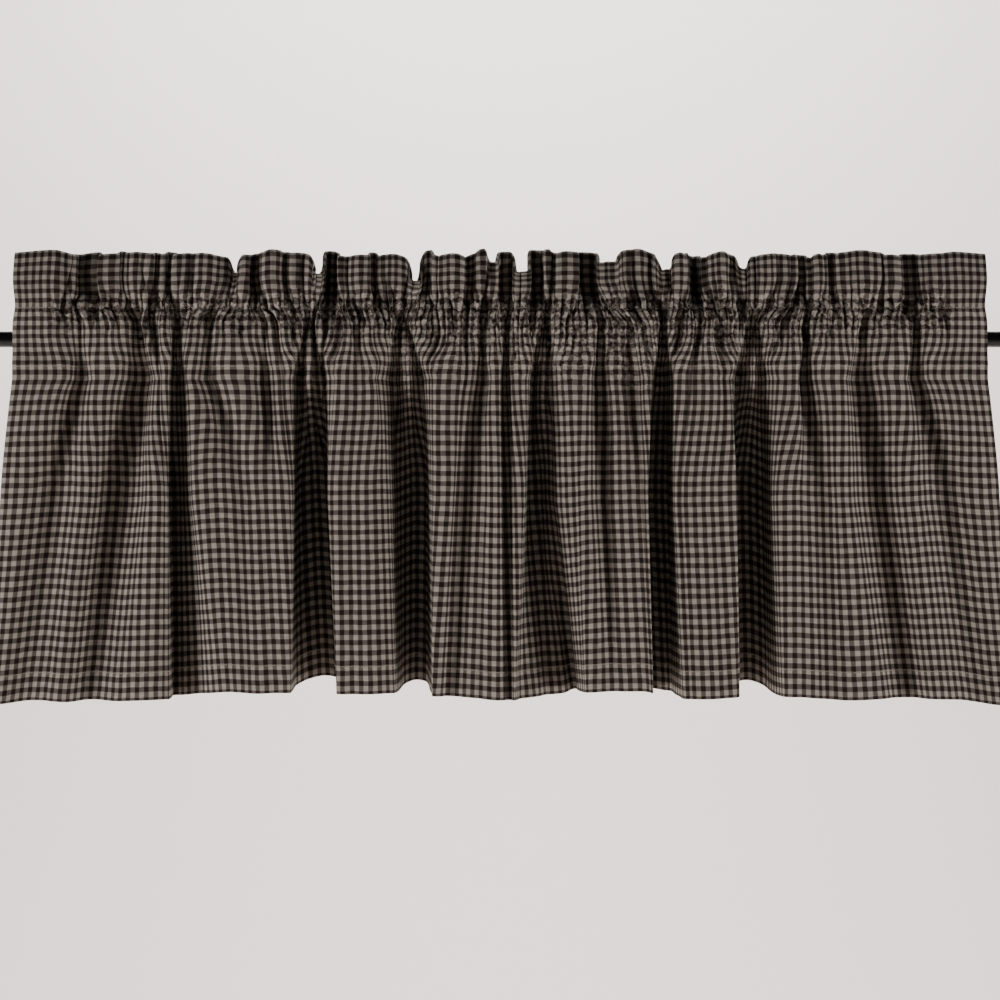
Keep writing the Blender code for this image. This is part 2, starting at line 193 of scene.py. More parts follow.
# Every fold of the skirt, left to right: the thread at its middle at each level; then its section
# at each level, from its left lip over its floor to its right lip, as (x, depth).
FOLDS = (
    # name, threads, then the section at the seam, half way down and at the hem
    ("left_end_pull", (70, 48, 44),
     ((-341, 0), (-332, 18), (-327, 18), (-320, 0)),
     ((-373, 0), (-359, 17), (-349, 17), (-330, 0)),
     ((-391, 0), (-379, 9), (-370, 9), (-355, 0))),
    ("left_swag", (132, 118, 110),
     ((-304, 0), (-293, 26), (-279, 26), (-270, 0)),
     ((-325, 0), (-314, 24), (-294, 24), (-275, 0)),
     ((-343, 0), (-332, 13), (-318, 13), (-300, 0))),
    ("left_break", (226, 228, 240),
     ((-264, 0), (-258, 24), (-254, 24), (-247, 0)),
     ((-262, 0), (-264, 32), (-254, 31), (-242, 0)),
     ((-261, 0), (-262, 30), (-247, 22), (-216, 0))),
    ("left_dimple", (280, 302, 298),
     ((-244, 0), (-233, 13), (-226, 13), (-216, 0)),
     ((-212, 0), (-204, 8), (-198, 8), (-191, 0)),
     ((-205, 0), (-199, 4), (-196, 4), (-190, 0))),
    ("left_tuck", (326, 328, 321),
     ((-197, 0), (-189, 20), (-183, 20), (-172, 0)),
     ((-185, 0), (-181, 3), (-177, 3), (-172, 0)),
     ((-183, 0), (-179, 0), (-175, 0), (-171, 0))),
    ("deep_left", (422, 418, 414),
     ((-168, 0), (-160, 34), (-151, 7), (-142, 28), (-132, 0)),
     ((-163, 0), (-164, 50), (-151, 58), (-139, 52), (-136, 0)),
     ((-165, 0), (-166, 56), (-149, 62), (-133, 58), (-129, 0))),
    ("deep_mid_left", (592, 600, 606),
     ((-100, 0), (-86, 34), (-71, 6), (-62, 30), (-55, 0)),
     ((-90, 0), (-80, 42), (-71, 54), (-59, 48), (-54, 0)),
     ((-84, 0), (-78, 46), (-68, 56), (-58, 51), (-53, 0))),
    ("centre_crease", (712, 703, 699),
     ((-25, 0), (-18, 18), (-12, 18), (-6, 0)),
     ((-38, 0), (-31, 15), (-24, 15), (-9, 0)),
     ((-47, 0), (-39, 8), (-30, 8), (-20, 0))),
    ("centre_line", (758, 756, 750),
     ((-1, 0), (3, 20), (6, 20), (10, 0)),
     ((-1, 0), (4, 14), (8, 14), (13, 0)),
     ((1, 0), (5, 6), (8, 6), (12, 0))),
    ("deep_centre", (846, 846, 818),
     ((20, 0), (27, 36), (36, 10), (42, 26), (52, 0)),
     ((20, 0), (23, 49), (34, 52), (42, 22), (60, 0)),
     ((10, 0), (18, 15), (36, 25), (60, 44), (68, 0))),
    ("right_tuck", (918, 924, 925),
     ((69, 0), (76, 24), (82, 24), (88, 0)),
     ((67, 0), (78, 14), (89, 13), (98, 0)),
     ((84, 0), (88, 2), (93, 2), (98, 0))),
    ("right_soft", (950, 950, 948),
     ((91, 0), (98, 15), (109, 12), (116, 0)),
     ((99, 0), (104, 5), (110, 5), (115, 0)),
     ((108, 0), (111, 1), (115, 1), (118, 0))),
    ("deep_mid_right", (1031, 1033, 1030),
     ((119, 0), (126, 40), (132, 42), (139, 0)),
     ((117, 0), (119, 52), (135, 54), (138, 0)),
     ((121, 0), (123, 56), (138, 58), (146, 0))),
    ("deep_right", (1216, 1222, 1222),
     ((180, 0), (190, 34), (201, 9), (209, 28), (221, 0)),
     ((187, 0), (190, 52), (201, 58), (212, 51), (217, 0)),
     ((189, 0), (192, 54), (204, 60), (215, 53), (224, 0))),
    ("right_crease", (1312, 1325, 1330),
     ((234, 0), (239, 20), (244, 20), (251, 0)),
     ((237, 0), (249, 12), (257, 12), (267, 0)),
     ((249, 0), (255, 7), (261, 7), (268, 0))),
    ("right_swag", (1388, 1398, 1405),
     ((272, 0), (282, 25), (291, 25), (304, 0)),
     ((275, 0), (294, 21), (306, 21), (320, 0)),
     ((304, 0), (314, 17), (328, 17), (343, 0))),
    ("right_end_pull", (1450, 1474, 1478),
     ((320, 0), (326, 19), (331, 19), (341, 0)),
     ((330, 0), (347, 17), (359, 17), (373, 0)),
     ((355, 0), (370, 9), (379, 9), (391, 0))),
)

# How much higher than its own length the hem hangs at a place along the rod, held up by gathers
# caught in the pocket, and the length of cloth over which these heights run into each other.
HEM_ROUNDING = 6.0
HEM_RAISED = (
    # x, raised
    (-457, -4),
    (-385, -2),
    (-300, -1),
    (-262, 2),
    (-240, 6),
    (-110, 7),
    (-50, 5),
    (0, 2),
    (52, 0),
    (68, 8),
    (115, 9),
    (132, 2),
    (215, 4),
    (260, 2),
    (340, 1),
    (375, -3),
    (457, -3),
)
SKIRT_ENDS = ((385.5, 3), (395.0, 6), (406.0, 8))   # half width and set-back of the side hems

# Every standing lobe of the header, left to right, at the top fold: its left and right side, how
# far it leans to the room, how deep the cloth falls back before the next one, and how far its top
# edge is crushed down.
LOBES = (
    # left, right, lean, fall-back, crushed
    (-386, -339, 2, 22, 1),
    (-318, -305, 3, 8, 4),
    (-299, -277, 1, 7, 1),
    (-272, -267, 3, 18, 4),
    (-260, -213, 1, 2, 3),
    (-212, -208, 1, 2, 17),
    (-207, -201, 3, 22, 3),
    (-191, -172, 0, 7, 0),
    (-166, -149, 2, 2, 1),
    (-147, -141, 1, 34, 17),
    (-128, -105, 3, 10, 4),
    (-99, -71, -3, 2, 4),
    (-70, -63, 2, 21, 22),
    (-53, -24, 2, 8, 4),
    (-16, -9, 3, 2, 0),
    (-8, -3, 1, 22, 12),
    (12, 23, 1, 28, 16),
    (37, 42, 2, 6, -1),
    (45, 61, 1, 36, 2),
    (79, 93, 4, 4, 9),
    (96, 122, -9, 2, -1),
    (123, 127, 1, 2, 2),
    (129, 136, 1, 2, 12),
    (137, 149, 3, 30, 1),
    (162, 189, -3, 1, 4),
    (191, 195, 0, 2, 13),
    (197, 235, 2, 20, 2),
    (245, 259, 2, 9, 4),
    (269, 302, 1, 6, 1),
    (305, 318, 3, 16, 4),
    (334, 386, 2, 0, 2),
)
CRUSHED_BETWEEN = 3.5           # the same where the cloth has fallen back
RAISED_BACK = 0.17              # but higher again by this share of how far it fell back
PINCH_WIDTH = 3.0               # a gap under this is a pinch, crushed as far as its neighbours
LOBE_CROWN = 0.10               # rise of a lobe's middle towards the room, against its width
MOST_LOBE_CROWN = 3.5
LOBE_CORNER_DROP = 1.8          # and how much lower than it the lobe's two corners are

# Where the mesh has its rows, as lengths along the cloth in each part of it.
HEADER_STATIONS = (0.0, 1.3, 4.0, 8.0, 13.0, 18.5, 23.5, 28.0, 32.0, 35.5, 38.5, 41.5, 44.2,
                   46.8, 49.2)                                    # below the top fold
POCKET_HEIGHTS = (23.7, 21.7, 19.7, 17.5, 15.0, 12.0, 8.0, 4.0, 0.0, -4.0, -8.0, -12.0, -15.5,
                  -18.5, -20.8)                                   # above the rod's axis
SKIRT_STATIONS = (0.0, 3.0, 6.0, 10.0, 14.0, 19.0, 25.0, 32.0, 40.0, 49.0, 59.0, 70.0, 82.0,
                  95.0, 109.0, 124.0, 140.0, 156.0, 173.0, 190.0, 207.0, 224.0, 238.0, 242.0,
                  244.0, 246.0, 251.0, 258.0, 264.0, 266.0)       # below the lower stitches
HEM_STATIONS = (264.0, 258.0, 251.0, 244.0)                       # back up behind the hem

# The small gathers.  Spare cloth goes into fine crinkles at the stitches and into broader
# ripples further off, each as high as the cloth that it has to take up.
FINE_GATHER = 9.0               # cloth in one fine crinkle
BROAD_GATHER = 33.0             # cloth in one broad ripple
FINE_REACH_DOWN = 14.0          # how far fine crinkles run below the upper stitches
FINE_REACH_UP = 12.0            # and up into the header
CENTRE_EXTRA_REACH = 22.0       # how much further down near the middle of the rod
CROWDED_X = 70.0                # where the cloth is crowded most
CROWDED_HALF_WIDTH = 110.0
SEAM_REACH = 7.0                # the puckers along the lower stitches
SEAM_PUCKER = 0.15              # and their share of the fine crinkles
SPARE_EVENS_OVER = 12.0         # length of cloth over which its spare length is shared
MOST_SPARE = 1.6                # spare cloth that the crinkles take up, against the width
BROAD_SHARE = 0.6               # of it that goes into the height of the broad ripples
ARCH_MEAN = 1.27                # mean height of the arches of a gather, so that it stays in place
TUCKS = 72                      # small pleats that the gathering pinches in
TUCK_DEPTHS = (1.3, 5.5)        # the least and the most, as in the pairs below
TUCK_WIDTHS = (2.0, 3.4)        # half of a pleat's width, in cloth
TUCK_REACHES_DOWN = (10.0, 48.0)    # below the upper stitches
TUCK_REACHES_UP = (8.0, 44.0)
TUCK_WIDENING = 40.0            # distance from the stitches at which a pleat is twice as wide
TUCK_MOST_SLANT = 0.35
CREASES = 1300                  # short sharp creases crumpled into the gathers
CREASE_HALF_WIDTHS = (1.5, 2.9)
CREASE_DEPTHS = (0.5, 2.4)
CREASE_LENGTHS = (2.5, 8.0)     # half of the length
CREASE_MOST_SLANT = 0.8
CREASES_FROM_STITCH = (-12.0, 32.0)     # the highest and the lowest, below the upper stitches
HEADER_RIPPLE = 1.3             # small upright ripples of the header
HEADER_RIPPLE_REACH = 3.2       # and how soft they are
RUFFLE_HEIGHT = 1.4             # unevenness of the top edge
RUFFLE_REACH = 12.0             # and how soft it is
CRUMPLE_DRIFT = 0.8             # how far the crumpling shifts the cloth up or down
CRUMPLE_WAVES = 14              # of that drift
CRUMPLE_LENGTHS = (5.0, 13.0)   # of those waves
CRUMPLE_MORE_REACH = 6.0        # how much further down it runs than the fine crinkles
GATHER_SEED = 20


def smoothstep(value):
    """Ease from 0 to 1."""
    value = np.clip(value, 0.0, 1.0)
    return value * value * (3.0 - 2.0 * value)


def path_lengths(points):
    """Length along a broken line from its first point to each of its points."""
    steps = np.hypot(*np.diff(points, axis=0).T)
    return np.concatenate(([0.0], np.cumsum(steps)))


def rounded(values, reach):
    """Average each thread with its neighbours within about `reach` mm of cloth."""
    spacing = CLOTH_WIDTH / (len(values) - 1)
    half = max(1, int(math.ceil(2.5 * reach / spacing)))
    offsets = np.arange(-half, half + 1) * spacing
    weights = np.exp(-0.5 * (offsets / reach) ** 2)
    weights /= weights.sum()
    before = 2.0 * values[0] - values[half:0:-1]
    after = 2.0 * values[-1] - values[-2:-half - 2:-1]
    return np.convolve(np.concatenate((before, values, after)), weights, mode="valid")


def fold_points(level, width_share=1.0):
    """Lips, floors and panel crowns of the skirt at one level, as (x, depth behind the ridges)."""
    end_x, end_depth = SKIRT_ENDS[level]
    points = [(-end_x, end_depth)]
    previous_lip = -end_x
    for _name, _threads, *levels in FOLDS:
        middle = 0.5 * (levels[level][0][0] + levels[level][-1][0])
        fold = [(middle + width_share * (x - middle), depth) for x, depth in levels[level]]
        left, right = fold[0][0], fold[-1][0]
        points.append((0.5 * (previous_lip + left), -PANEL_CROWN * (left - previous_lip)))
        points += fold
        previous_lip = right
    points.append((0.5 * (previous_lip + end_x), -PANEL_CROWN * (end_x - previous_lip)))
    points.append((end_x, end_depth))
    return np.array(points, float)


def deepened(points, length):
    """Scale the depths of a section until the broken line is `length` long."""
    low, high = 0.5, 3.0
    for _halving in range(30):
        factor = 0.5 * (low + high)
        if path_lengths(points * (1.0, factor))[-1] < length:
            low = factor
        else:
            high = factor
    return points * (1.0, factor)


def fold_threads(level):
    """The stated threads of the fold middles at one level, with the two side hems."""
    return np.array([0.0] + [fold[1][level] for fold in FOLDS] + [CLOTH_WIDTH])


def fold_middles(level):
    """x of the fold middles at one level, with the two side hems."""
    end_x = SKIRT_ENDS[level][0]
    return np.array([-end_x] + [0.5 * (fold[2 + level][0][0] + fold[2 + level][-1][0])
                                for fold in FOLDS] + [end_x])


def along_threads(points, level):
    """The thread at every point of a section, going by its length between the fold middles."""
    lengths = path_lengths(points)
    at_middles = np.interp(fold_middles(level), points[:, 0], lengths)
    return np.interp(lengths, at_middles, fold_threads(level))


upper_points = fold_points(0)
lower_points = [deepened(fold_points(level), SHARE_IN_FOLDS * CLOTH_WIDTH) for level in (1, 2)]
upper_threads = along_threads(upper_points, 0)
lower_threads = [along_threads(points, level) for level, points in zip((1, 2), lower_points)]

threads = np.linspace(0.0, CLOTH_WIDTH, COLUMNS + 1)
from_end = np.minimum(threads, CLOTH_WIDTH - threads)
gathered = smoothstep((from_end - UNGATHERED_END) / UNGATHERED_END)

# The pocket's large crinkles, whose pitch and height drift along the cloth.
crinkle_drift = 0.9 * np.sin(threads / 61.0) + 0.7 * np.sin(threads / 23.0 + 1.3)
crinkle_swell = 0.8 + 0.2 * np.sin(threads / 37.0 + 0.6)
crinkle_wave = (CRINKLE_DEPTH * gathered * crinkle_swell
                * np.sin(2.0 * math.pi * threads / CRINKLE_PITCH + crinkle_drift))

even_x = rounded(np.interp(threads, fold_threads(0), fold_middles(0)), CROWDING_REACH)
pinched_points = fold_points(0, PINCHED_WIDTH)
evened_threads = np.interp(pinched_points[:, 0], even_x, threads)
pinched_threads = upper_threads + EVENED_SHARE * (evened_threads - upper_threads)
sections = [np.column_stack((pinched_threads, pinched_points)),
            np.column_stack((upper_threads, upper_points))]
sections += [np.column_stack(pair) for pair in zip(lower_threads, lower_points)]


def fold_row(below_stitches):
    """x and fold depth of every thread at one level, with the corners rounded."""
    upper, middle, lower = FOLD_LEVELS
    pinched, gathers, half_way, hem = sections
    if below_stitches > middle:
        share = (below_stitches - middle) / (lower - middle)
        section = half_way + share * (hem - half_way)
    elif below_stitches > upper:
        share = (middle - below_stitches) / (middle - upper)
        section = half_way + share ** 1.3 * (gathers - half_way)
        section[:, 0] = half_way[:, 0] + smoothstep(share) * (gathers - half_way)[:, 0]
    else:
        share = min(1.0, (upper - below_stitches) / (upper - PINCHED_LEVEL))
        section = gathers + share * (pinched - gathers)
        section[:, 0] = gathers[:, 0] + smoothstep(share) * (pinched - gathers)[:, 0]
    below = min(1.0, max(0.0, below_stitches) / middle)
    corner = CORNER_AT_SEAM + (CORNER_BELOW - CORNER_AT_SEAM) * below
    return (rounded(np.interp(threads, section[:, 0], section[:, 1]), corner),
            rounded(np.interp(threads, section[:, 0], section[:, 2]), corner))


def skirt_row(below_stitches):
    """x and y of every thread at a length below the lower stitches."""
    x, depth = fold_row(below_stitches)
    grown = smoothstep(below_stitches / FOLD_GROWTH)
    depth = depth * (SEAM_FOLD_SHARE + (1.0 - SEAM_FOLD_SHARE) * grown)
    fade = max(0.0, 1.0 - below_stitches / CRINKLE_FADE) ** 1.5
    come_forward = smoothstep(below_stitches / RIDGE_RUN)
    ridge = RIDGE_Y_AT_SEAM + (RIDGE_Y_AT_HEM - RIDGE_Y_AT_SEAM) * come_forward
    return x, ridge + depth + SEAM_CRINKLE_SHARE * fade * crinkle_wave


seam_x, seam_y = skirt_row(0.0)


def lobe_section():
    """x, y and crush of every thread along the header's top fold."""
    corners = []
    for lobe, following in zip(LOBES, LOBES[1:] + (None,)):
        left, right, lean, fall_back, crushed = lobe
        crown = min(MOST_LOBE_CROWN, LOBE_CROWN * (right - left))
        corners += [(left, -lean, crushed + LOBE_CORNER_DROP),
                    (0.5 * (left + right), -lean - crown, crushed),
                    (right, -lean, crushed + LOBE_CORNER_DROP)]
        if following:
            gap = following[0] - right
            wall = LOBE_WALL * gap
            low = CRUSHED_BETWEEN - RAISED_BACK * fall_back
            if gap < PINCH_WIDTH:
                low = max(crushed, following[4])
            corners += [(right + wall, fall_back, low), (following[0] - wall, fall_back, low)]
    corners = np.array(corners, float)
    path = corners[:, :2]
    path = deepened(path, SHARE_IN_LOBES * CLOTH_WIDTH)
    by_length = path_lengths(path) / SHARE_IN_LOBES
    by_place = np.interp(path[:, 0], even_x, threads)
    near = np.exp(-0.5 * ((path[:, :1] - path[:, 0]) / LOBE_DRIFT_REACH) ** 2)
    drift = near @ (by_place - by_length) / near.sum(axis=1)
    drift *= np.interp(path[-1, 0] - np.abs(path[:, 0]), LOBE_DRIFT_FROM_END, (0.0, 1.0))
    fed = np.maximum.accumulate(by_length + drift)
    return [rounded(np.interp(threads, fed, column), LOBE_ROUNDING)
            for column in (path[:, 0], path[:, 1], corners[:, 2])]


top_x, top_y, top_crushed = lobe_section()
pinched_x, pinched_depth = fold_row(PINCHED_LEVEL)
stitch_x = pinched_x + LOBES_AT_STITCHES[0] * (top_x - pinched_x)
stitch_x -= STITCH_PULL * np.sign(stitch_x) * np.exp(-(from_end / STITCH_PULL_REACH) ** 2)
stitch_y = (STITCH_Y + STITCH_CRINKLE_SHARE * crinkle_wave + LOBES_AT_STITCHES[1] * top_y
            + FOLDS_AT_STITCHES * pinched_depth)


def header_row(below_top):
    """Middle of the header's two layers at a length below the top fold."""
    share = 1.0 - below_top / HEADER_HEIGHT
    lift_x, lift = smoothstep(share / np.array(LOBES_FULL_AT))
    height = HEADER_STANDS * (HEADER_HEIGHT - below_top)
    x = stitch_x + (top_x - stitch_x) * lift_x
    y = stitch_y + (STITCH_Y + top_y - stitch_y) * lift + HEADER_LEAN * share
    out = y - stitch_y - HEADER_LEAN * share
    stand = np.sqrt(np.maximum(height ** 2 - (x - stitch_x) ** 2 - out ** 2,
                               (height * (1.0 - HEADER_SAG * lift)) ** 2))
    return x, y, UPPER_STITCH_Z + stand - (top_crushed + top_ruffle) * share ** 2


def pocket_row(height, front):
    """One layer of the pocket at a height, from the upper stitches over the rod to the lower."""
    rod_x, rod_depth = fold_row(LOWER_STITCH_Z - height)
    if front:
        puff = np.maximum(END_PUFF + (POCKET_PUFF - END_PUFF) * gathered
                          - ROD_FOLD_SHARE * rod_depth - ROD_CRINKLE_SHARE * crinkle_wave, 0.0)
        belly_x, belly_y = rod_x, -ROD_STANDOFF - puff
    else:
        puff = np.maximum(BACK_PUFF + BACK_CRINKLE_SHARE * crinkle_wave, 0.0)
        belly_x, belly_y = 0.5 * (even_x + rod_x), ROD_STANDOFF + puff
    if height > 0.0:
        edge_x, edge_y, edge_z = stitch_x, stitch_y, UPPER_STITCH_Z
    else:
        edge_x, edge_y, edge_z = seam_x, seam_y, LOWER_STITCH_Z
    reached = (edge_z - height) / (edge_z - math.copysign(POCKET_ROUND_Z, edge_z))
    belly = math.sin(0.5 * math.pi * min(1.0, max(0.0, reached)))
    return (edge_x + (belly_x - edge_x) * belly, edge_y + (belly_y - edge_y) * belly,
            np.full_like(threads, height))


def square_to(x, y):
    """Unit directions square to a row of threads, towards the back."""
    along_x, along_y = np.gradient(x), np.gradient(y)
    size = np.maximum(np.hypot(along_x, along_y), 1e-6)
    return -along_y / size, along_x / size


def soft_noise(seed, reach):
    """Seeded noise over the threads, of about unit height."""
    values = rounded(np.random.default_rng(seed).normal(size=len(threads)), reach)
    return values / values.std()


header_ripple = HEADER_RIPPLE * soft_noise(GATHER_SEED + 9, HEADER_RIPPLE_REACH) * gathered
top_ruffle = RUFFLE_HEIGHT * soft_noise(GATHER_SEED + 7, RUFFLE_REACH) * gathered
fine_phase = math.pi * threads / FINE_GATHER + 0.9 * soft_noise(GATHER_SEED, 14.0)
broad_phase = math.pi * threads / BROAD_GATHER + 1.1 * soft_noise(GATHER_SEED + 1, 40.0)
fine_height = np.clip(1.0 + 0.45 * soft_noise(GATHER_SEED + 2, 7.0), 0.15, 1.9)
broad_height = np.clip(1.0 + 0.35 * soft_noise(GATHER_SEED + 3, 25.0), 0.2, 1.8)
fine_shape = fine_height * (2.0 * np.abs(np.sin(fine_phase)) - ARCH_MEAN)
broad_shape = broad_height * (2.0 * np.abs(np.sin(broad_phase)) - ARCH_MEAN)
near_centre = np.exp(-0.5 * ((even_x - CROWDED_X) / CROWDED_HALF_WIDTH) ** 2)
uneven_reach = np.clip(1.0 + 0.4 * soft_noise(GATHER_SEED + 4, 9.0), 0.4, 2.0)

tuck_random = np.random.default_rng(GATHER_SEED + 5)
tuck_threads = CLOTH_WIDTH * (np.arange(TUCKS) + tuck_random.uniform(0.1, 0.9, TUCKS)) / TUCKS
tuck_depths = tuck_random.uniform(*TUCK_DEPTHS, TUCKS)
tuck_widths = tuck_random.uniform(*TUCK_WIDTHS, TUCKS)
shortest_down, longest_down = TUCK_REACHES_DOWN
tuck_downs = shortest_down + (longest_down - shortest_down) * tuck_random.uniform(
    0.0, 1.0, TUCKS) ** 2
tuck_ups = tuck_random.uniform(*TUCK_REACHES_UP, TUCKS)
tuck_slants = tuck_random.uniform(-TUCK_MOST_SLANT, TUCK_MOST_SLANT, TUCKS)


def tucked(from_stitch):
    """How far the pleats pinch each thread in, at a length below the upper stitches."""
    reaches = tuck_downs if from_stitch >= 0.0 else tuck_ups
    depths = tuck_depths * np.exp(-(from_stitch / reaches) ** 2)
    middles = tuck_threads + tuck_slants * from_stitch
    widths = tuck_widths * (1.0 + abs(from_stitch) / TUCK_WIDENING)
    dips = depths[:, None] * np.exp(-((threads[None, :] - middles[:, None])
                                      / widths[:, None]) ** 2)
    return gathered * dips.sum(axis=0)


crease_random = np.random.default_rng(GATHER_SEED + 6)
crease_threads = crease_random.uniform(0.0, CLOTH_WIDTH, CREASES)
crease_widths = crease_random.uniform(*CREASE_HALF_WIDTHS, CREASES)
crease_depths = crease_random.uniform(*CREASE_DEPTHS, CREASES)
crease_lengths = crease_random.uniform(*CREASE_LENGTHS, CREASES)
crease_slants = crease_random.uniform(-CREASE_MOST_SLANT, CREASE_MOST_SLANT, CREASES)
highest, lowest = CREASES_FROM_STITCH
crease_places = highest + (lowest - highest) * crease_random.beta(1.6, 2.6, CREASES)
crease_places = crease_places + (CENTRE_EXTRA_REACH * crease_random.uniform(0.0, 1.6, CREASES)
                                 * np.interp(crease_threads, threads, near_centre)
                                 * (crease_places > 0.0))


def creased(from_stitch):
    """How far the short creases pinch each thread in, at a length below the upper stitches."""
    near = np.abs(from_stitch - crease_places) < 2.5 * crease_lengths
    off = (from_stitch - crease_places)[near]
    depths = crease_depths[near] * np.exp(-(off / crease_lengths[near]) ** 2)
    middles = crease_threads[near] + crease_slants[near] * off
    dips = depths[:, None] * np.exp(-np.abs((threads[None, :] - middles[:, None])
                                            / crease_widths[near][:, None]) ** 1.5)
    return gathered * dips.sum(axis=0)


wave_random = np.random.default_rng(GATHER_SEED + 8)
wave_turns = 2.0 * math.pi / wave_random.uniform(*CRUMPLE_LENGTHS, CRUMPLE_WAVES)
wave_headings = wave_random.uniform(-1.3, 1.3, CRUMPLE_WAVES)
wave_starts = wave_random.uniform(0.0, 2.0 * math.pi, CRUMPLE_WAVES)


def crumple_drift(from_stitch):
    """How far each thread is shifted up in the crumpled band, at a length below the stitches."""
    if from_stitch > 0.0:
        reach = FINE_REACH_DOWN + CRUMPLE_MORE_REACH + CENTRE_EXTRA_REACH * near_centre
    else:
        reach = FINE_REACH_UP
    waves = np.sin(wave_turns[:, None] * (np.cos(wave_headings)[:, None] * threads[None, :]
                                          + np.sin(wave_headings)[:, None] * from_stitch)
                   + wave_starts[:, None]).sum(axis=0) / math.sqrt(0.5 * CRUMPLE_WAVES)
    return CRUMPLE_DRIFT * gathered * waves * np.exp(-(from_stitch / reach) ** 2)


def gathered_row(x, y, from_stitch, from_seam):
    """Push a row in and out, except on the walls of folds, by the cloth it has to spare."""
    spacing = CLOTH_WIDTH / COLUMNS
    taken = rounded(np.hypot(np.gradient(x), np.gradient(y)) / spacing, SPARE_EVENS_OVER)
    spare = gathered * np.clip(1.0 / np.maximum(taken, 0.3) - 1.0, 0.0, MOST_SPARE)
    if from_stitch >= 0.0:
        reach = (FINE_REACH_DOWN + CENTRE_EXTRA_REACH * near_centre) * uneven_reach
    else:
        reach = FINE_REACH_UP * uneven_reach
    fineness = np.exp(-(from_stitch / reach) ** 2)
    fineness = np.maximum(fineness, SEAM_PUCKER * np.exp(-(from_seam / SEAM_REACH) ** 2))
    fine = FINE_GATHER * taken / math.pi * np.sqrt(spare * fineness) * fine_shape
    broad = (BROAD_SHARE * BROAD_GATHER * taken / math.pi * np.sqrt(spare * (1.0 - fineness))
             * broad_shape)
    off_x, off_y = square_to(rounded(x, 3.0), rounded(y, 3.0))
    out = fine + broad - tucked(from_stitch) - creased(from_stitch)
    if from_stitch < 0.0:
        out = out + header_ripple
    out = out * np.abs(off_y)
    return x - off_x * out, y - off_y * out


def layered(x, y, z, offset, from_stitch, from_seam):
    """A gathered row, moved `offset` square to the cloth (plus is towards the back)."""
    x, y = gathered_row(x, y, from_stitch, from_seam)
    off_x, off_y = square_to(x, y)
    return (x + offset * off_x, y + offset * off_y,
            z + crumple_drift(from_stitch))


def crumpled_share(from_stitch):
    """How crumpled each thread is, from 0 to 1, at a length below the upper stitches."""
    if from_stitch < 0.0:
        reach = FINE_REACH_UP * uneven_reach
    else:
        reach = (1.3 * FINE_REACH_DOWN + CENTRE_EXTRA_REACH * near_centre) * uneven_reach
    return (0.2 + 0.8 * gathered) * np.exp(-(from_stitch / reach) ** 2)


def below_upper_stitches(height):
    """Length of the pocket's cloth from the upper stitches down to a height."""
    return (UPPER_STITCH_Z - height) / (UPPER_STITCH_Z - LOWER_STITCH_Z) * POCKET_PATH


# The skirt first, hung row by row so that no thread stretches.
skirt_rows = []
for below in SKIRT_STATIONS:
    x, y = skirt_row(below)
    if not skirt_rows:
        z = np.full_like(threads, LOWER_STITCH_Z)
    else:
        step = below - previous_below
        drop = step ** 2 - (x - previous_x) ** 2 - (y - previous_y) ** 2
        z = z - rounded(np.sqrt(np.maximum(drop, (LEAST_DROP * step) ** 2)),
                        DROP_ROUNDING)
    previous_x, previous_y, previous_below = x, y, below
    raised = rounded(np.interp(x, *zip(*HEM_RAISED)), HEM_ROUNDING)
    lifted = z + smoothstep(below / SKIRT_LENGTH) * raised
    skirt_rows.append(layered(x, y, lifted, 0.0, POCKET_PATH + below, below))

# Then every row in order along the cloth: the flap, the pocket's back, the header's back and front,
# the pocket's front, the skirt and the turned-up hem.
rows, stations = [], []
half_seam = 0.5 * SEAM_LAYER_GAP
for below in (FLAP_LENGTH, 0.5 * FLAP_LENGTH):
    x, y = skirt_row(below)
    rows.append(layered(x, y, np.full_like(threads, LOWER_STITCH_Z - below), SEAM_LAYER_GAP,
                        POCKET_PATH + below, below))
    stations.append(-HEADER_HEIGHT - POCKET_PATH - below)
for height in sorted(POCKET_HEIGHTS[1:] + (LOWER_STITCH_Z,)):
    x, y, z = pocket_row(height, front=False)
    down = below_upper_stitches(height)
    rows.append(layered(x, y, z, half_seam, down, POCKET_PATH - down))
    stations.append(-HEADER_HEIGHT - down)
header_down = HEADER_STATIONS + (HEADER_HEIGHT,)
for side, header_part in ((1.0, header_down[::-1]), (-1.0, header_down[1:])):
    for below in header_part:
        x, y, z = header_row(below)
        up = HEADER_HEIGHT - below
        open_share = min(1.0, below / TOP_FOLD_REACH) ** 0.5
        widened = smoothstep(up / LAYERS_PART_OVER)
        gap = open_share * (SEAM_LAYER_GAP + (HEADER_LAYER_GAP - SEAM_LAYER_GAP) * widened)
        rows.append(layered(x, y, z, side * 0.5 * gap, -up, POCKET_PATH))
        stations.append(-side * below)
for height in POCKET_HEIGHTS[1:]:
    x, y, z = pocket_row(height, front=True)
    down = below_upper_stitches(height)
    rows.append(layered(x, y, z, -half_seam, down, POCKET_PATH - down))
    stations.append(HEADER_HEIGHT + down)
for below, (x, y, z) in zip(SKIRT_STATIONS, skirt_rows):
    rows.append((x, y, z))
    stations.append(HEADER_HEIGHT + POCKET_PATH + below)
bottom = stations[-1]
for below in HEM_STATIONS:
    x, y, z = skirt_rows[SKIRT_STATIONS.index(below)]
    off_x, off_y = square_to(x, y)
    rows.append((x + HEM_THICKNESS * off_x, y + HEM_THICKNESS * off_y, z))
    stations.append(bottom + SKIRT_LENGTH - below)
rows = np.array(rows)
stations = np.array(stations)
last_row = len(rows) - 1

